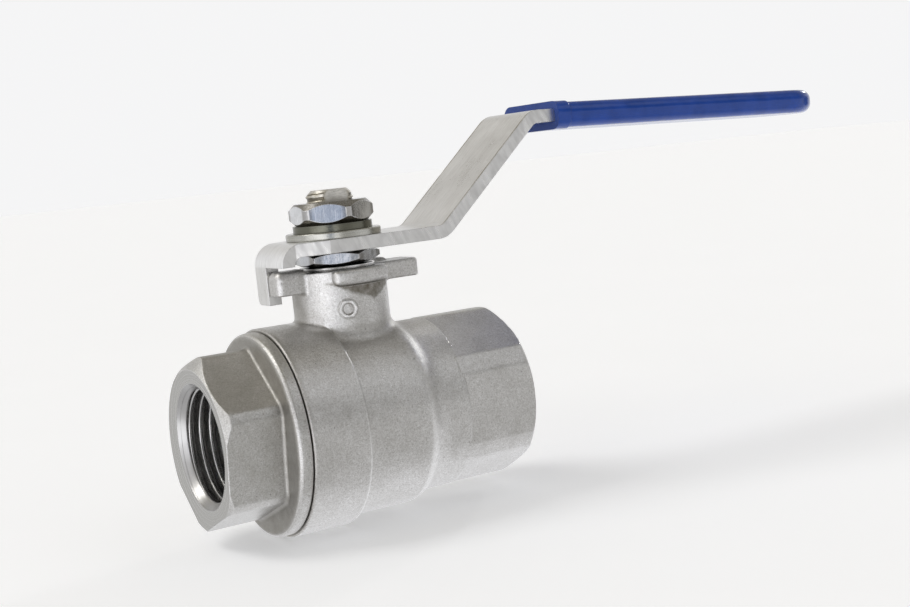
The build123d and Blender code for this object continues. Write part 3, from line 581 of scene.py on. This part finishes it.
def pipe_thread(name, x_face, inward, mat):
    """The crests of a right-hand 1/2 inch pipe thread, standing in from the bored wall. They start on the mouth's
    45 degree chamfer and run out before the bottom of the bore."""
    root, crest, pitch, length = 10.44, 9.30, 1.8143, 12.4
    us = [-0.5, -0.44, -0.36, -0.27, -0.18, -0.11, -0.05, 0.0, 0.05, 0.11, 0.18, 0.27, 0.36, 0.44, 0.5]
    seg = 84
    total = int(length / pitch * seg)
    bm = bmesh.new()
    rings = []
    for i in range(-seg // 2, total + 1):
        th = 2 * math.pi * i / seg
        depth = pitch * i / seg                      # of the crest's middle, from the face
        out = smooth((depth - (length - 1.4)) / 1.4)   # runout
        ring = []
        for u in us:
            d = depth + u * pitch * 0.985
            flank = smooth((abs(u) - 0.05) / 0.38) * 0.35 + max(0.0, min(1.0, (abs(u) - 0.07) / 0.35)) * 0.65
            r = crest + (root - crest) * flank
            r = max(r, crest + (root - crest) * out)
            d = max(d, 0.03)
            r = max(r, min(root, 10.42 - d * 0.98))    # the mouth's chamfer
            x = x_face + inward * d
            ang = th * inward
            ring.append(bm.verts.new((x * MM, r * math.cos(ang) * MM, r * math.sin(ang) * MM)))
        back = []
        for u in (0.5, 0.0, -0.5):
            d = max(depth + u * pitch * 0.985, 0.03)
            x = x_face + inward * d
            ang = th * inward
            rb = root + 0.12
            back.append(bm.verts.new((x * MM, rb * math.cos(ang) * MM, rb * math.sin(ang) * MM)))
        rings.append(ring + back)
    n = len(rings[0])
    for a, b in zip(rings, rings[1:]):
        for k in range(n):
            bm.faces.new((a[k], a[(k + 1) % n], b[(k + 1) % n], b[k]))
    bm.faces.new(rings[0]); bm.faces.new(list(reversed(rings[-1])))
    # the turned chamfer of the mouth
    prof = [(0.03, 10.56), (0.03, 10.40), (0.20, 10.26), (0.70, 9.80), (1.12, 9.42), (1.24, 9.36), (1.38, 9.40), (1.62, 9.80), (1.95, 10.56)]
    loops = []
    for i in range(128):
        a = 2 * math.pi * i / 128
        loops.append([bm.verts.new(((x_face + inward * d) * MM, r * math.cos(a) * MM, r * math.sin(a) * MM)) for d, r in prof])
    k = len(prof)
    for i in range(128):
        a, b = loops[i], loops[(i + 1) % 128]
        for j in range(k):
            bm.faces.new((a[j], a[(j + 1) % k], b[(j + 1) % k], b[j]))
    return add_mesh(name, bm, mat, "housing", 35)


def stem_thread(name, z0, z1, mat):
    """M8 fine-pitch crests on the stem's threaded end, cut off by its two flats."""
    root, crest, pitch = 3.68, 3.99, 1.0
    us = [-0.42, -0.30, -0.17, -0.07, 0.07, 0.17, 0.30, 0.42]
    seg = 60
    n_i = int((z1 - z0) / pitch * seg)
    bm = bmesh.new()
    rings = []
    for i in range(n_i + 1):
        th = 2 * math.pi * i / seg + 0.6
        zc = z0 + pitch * i / seg
        fade = smooth(i / (seg * 0.2)) * smooth((n_i - i) / (seg * 0.35))
        ring = []
        for u in us:
            k = 1 - smooth((abs(u) - 0.05) / 0.36)
            r = root + (crest - root) * k * fade
            ring.append(bm.verts.new((r * math.cos(th) * MM, r * math.sin(th) * MM, (zc + u * pitch) * MM)))
        for u in (0.42, -0.42):
            r = root - 0.15
            ring.append(bm.verts.new((r * math.cos(th) * MM, r * math.sin(th) * MM, (zc + u * pitch) * MM)))
        rings.append(ring)
    n = len(rings[0])
    for a, b in zip(rings, rings[1:]):
        for k in range(n):
            bm.faces.new((a[k], a[(k + 1) % n], b[(k + 1) % n], b[k]))
    bm.faces.new(rings[0]); bm.faces.new(list(reversed(rings[-1])))
    for sgn in (-1, 1):
        geom = bm.verts[:] + bm.edges[:] + bm.faces[:]
        cut = bmesh.ops.bisect_plane(bm, geom=geom, plane_co=(0, sgn * 2.85 * MM, 0), plane_no=(0, sgn, 0), clear_outer=True)
        edges = [g for g in cut["geom_cut"] if isinstance(g, bmesh.types.BMEdge)]
        bmesh.ops.holes_fill(bm, edges=edges, sides=0)
    return add_mesh(name, bm, mat, "lever_and_stem", 40)


cap_lo, cap_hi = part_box("end_cap")
body_lo, body_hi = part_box("body")
stem_lo, stem_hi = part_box("stem")
nut_lo, nut_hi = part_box("handle_nut")


thread_mat = turned_steel("thread_cut", "X", 0.80, (0.13, 0.24), 0.12, 0.012, 0.08,
                          dull=lambda t: t.m("MAXIMUM", t.step(t.x, -26.1, -26.5), t.step(t.x, 26.6, 27.0)))
pipe_thread("inlet_thread", cap_lo.x / MM, 1, thread_mat)
pipe_thread("outlet_thread", body_hi.x / MM, -1, thread_mat)
stem_thread("stem_thread", nut_hi.z / MM - 3.4, stem_hi.z / MM - 0.75, paint["stem"])

# ------------------------------------------------------------------------ stage
floor_z = min(v.z for v in (body_lo, cap_lo)) - 0.00002
bm = bmesh.new()
bmesh.ops.create_grid(bm, x_segments=8, y_segments=8, size=6.0)
me = bpy.data.meshes.new("floor")
bm.to_mesh(me); bm.free()
floor = bpy.data.objects.new("floor", me)
floor.location = (0, 0, floor_z)
scene.collection.objects.link(floor)
t = Tree("floor_board")
grain = t.noise(0.02, 3.0)
t.set(base=t.mix(t.lin(grain, 0.3, 0.7), (0.835, 0.842, 0.855), (0.85, 0.857, 0.87)), rough=0.75, spec=0.1)
t.bsdf.inputs["Emission Color"].default_value = (1, 1, 1, 1)
t.bsdf.inputs["Emission Strength"].default_value = 0.27
me.materials.append(t.mat)
floor.visible_glossy = False        # the metal reflects the sweep around the table, not the table's shadow

# world: white sweep at the horizon, dimmer and warmer overhead, dark behind the camera, bright at the left
w = Tree("studio", world=True)
nt = w.nt
out = nt.nodes.new("ShaderNodeOutputWorld")
bg = nt.nodes.new("ShaderNodeBackground")
nt.links.new(bg.outputs[0], out.inputs[0])
tc = nt.nodes.new("ShaderNodeTexCoord")
d = w.vec("NORMALIZE", tc.outputs["Generated"])
dx, dy, dz = w.xyz(d)


def toward(v, lo, hi):
    v = Vector(v).normalized()
    return w.step(w.vec("DOT_PRODUCT", d, tuple(v)), lo, hi)


HORIZON = (0.915, 0.915, 0.92)
TOP = (0.41, 0.387, 0.342)
FRONT = (0.25, 0.245, 0.235)
RING = (0.80, 0.80, 0.81)
LEFT = (1.15, 1.15, 1.18)
SPOT = (1.05, 1.06, 1.09)
LOW = (0.85, 0.85, 0.87)
LOW_FRONT = (0.56, 0.555, 0.545)
LOW_RIGHT = (1.18, 1.19, 1.23)
LOW_SELF = (0.40, 0.46, 0.58)
LEFT_FRONT = (1.80, 1.80, 1.84)
LOW_LEFT = (2.35, 2.37, 2.46)
LOW_EAST = (0.86, 0.86, 0.875)
LEFT_UP = (1.75, 1.76, 1.84)
LOW_BACK = (0.66, 0.655, 0.64)
SIDE = (0.20, 0.19, 0.17)
col = w.mix(w.step(dz, 0.13, 0.24), HORIZON, RING)
col = w.mix(w.step(dz, 0.28, 0.66), col, TOP)
front = w.m("MULTIPLY", toward((0.30, -0.92, 0.25), 0.30, 0.80), w.step(dz, 0.05, 0.16))
col = w.mix(front, col, FRONT)
col = w.mix(toward((0.40, -0.60, 0.68), 0.90, 0.985), col, SPOT)
left = w.m("MULTIPLY", toward((-0.93, -0.10, 0.35), 0.86, 0.97), w.step(dz, 0.10, 0.22))
col = w.mix(left, col, LEFT)
# what the metal sees below the horizon; the floor hides this part of the world from the camera
below = w.step(dz, -0.02, -0.06)
low = w.mix(toward((-0.42, 0.90, -0.15), 0.88, 0.985), LOW, LOW_BACK)
low = w.mix(toward((0.60, 0.42, -0.68), 0.50, 0.92), low, LOW_RIGHT)
low = w.mix(toward((-0.86, -0.48, -0.14), 0.78, 0.95), low, LOW_LEFT)
low = w.mix(toward((0.30, -0.93, -0.20), 0.50, 0.88), low, LOW_FRONT)
low = w.mix(toward((0.78, -0.60, -0.17), 0.88, 0.985), low, LOW_EAST)
low = w.mix(toward((-0.42, -0.90, -0.10), 0.93, 0.985), low, LEFT_FRONT)
low = w.mix(toward((-0.52, -0.85, -0.08), 0.975, 0.995), low, LOW_SELF)
col = w.mix(toward((-0.82, -0.56, 0.10), 0.935, 0.988), col, LEFT_UP)
col = w.mix(below, col, low)
col = w.mix(toward((0.99, -0.06, -0.04), 0.955, 0.988), col, SIDE)
col = w.mix(toward((-0.40, -0.91, 0.02), 0.965, 0.99), col, LEFT_FRONT)
col = w.mix(toward((-0.52, -0.855, 0.0), 0.978, 0.995), col, LOW_SELF)
nt.links.new(col, bg.inputs["Color"])
bg.inputs["Strength"].default_value = 1.0
scene.world = w.mat


def sun(name, toward_light, strength, angle, color=(1, 1, 1)):
    li = bpy.data.lights.new(name, "SUN")
    li.energy = strength
    li.angle = math.radians(angle)
    li.color = color
    o = bpy.data.objects.new(name, li)
    o.rotation_mode = "QUATERNION"
    o.rotation_quaternion = (-Vector(toward_light)).to_track_quat("-Z", "Y")
    scene.collection.objects.link(o)
    return o


sun("key", (-0.55, 0.30, 0.78), 0.85, 26, (1.0, 0.995, 0.99))
sun("glint", (0.83, 0.385, 0.36), 0.22, 4, (1.0, 1.0, 1.0))

# ----------------------------------------------------------------------- camera
az, el, roll = math.radians(-30.21), math.radians(6.07), math.radians(-5.91)
target, dist = Vector((0.02222, 0.0, 0.01628)), 0.2457
back = Vector((math.sin(az) * math.cos(el), -math.cos(az) * math.cos(el), math.sin(el)))
right = (-back).cross(Vector((0, 0, 1))).normalized()
up = right.cross(-back)
cx = right * math.cos(roll) + up * math.sin(roll)
cy = up * math.cos(roll) - right * math.sin(roll)
cam_data = bpy.data.cameras.new("camera")
cam = bpy.data.objects.new("camera", cam_data)
scene.collection.objects.link(cam)
m4 = Matrix.Identity(4)
for i in range(3):
    m4[i][0], m4[i][1], m4[i][2] = cx[i], cy[i], back[i]
m4.translation = target + back * dist
cam.matrix_world = m4
cam_data.sensor_fit = "HORIZONTAL"
cam_data.sensor_width = 36.0
cam_data.lens = 54.64
cam_data.clip_start, cam_data.clip_end = 0.01, 50.0
scene.camera = cam

scene.view_settings.view_transform = "Standard"
scene.view_settings.look = "None"
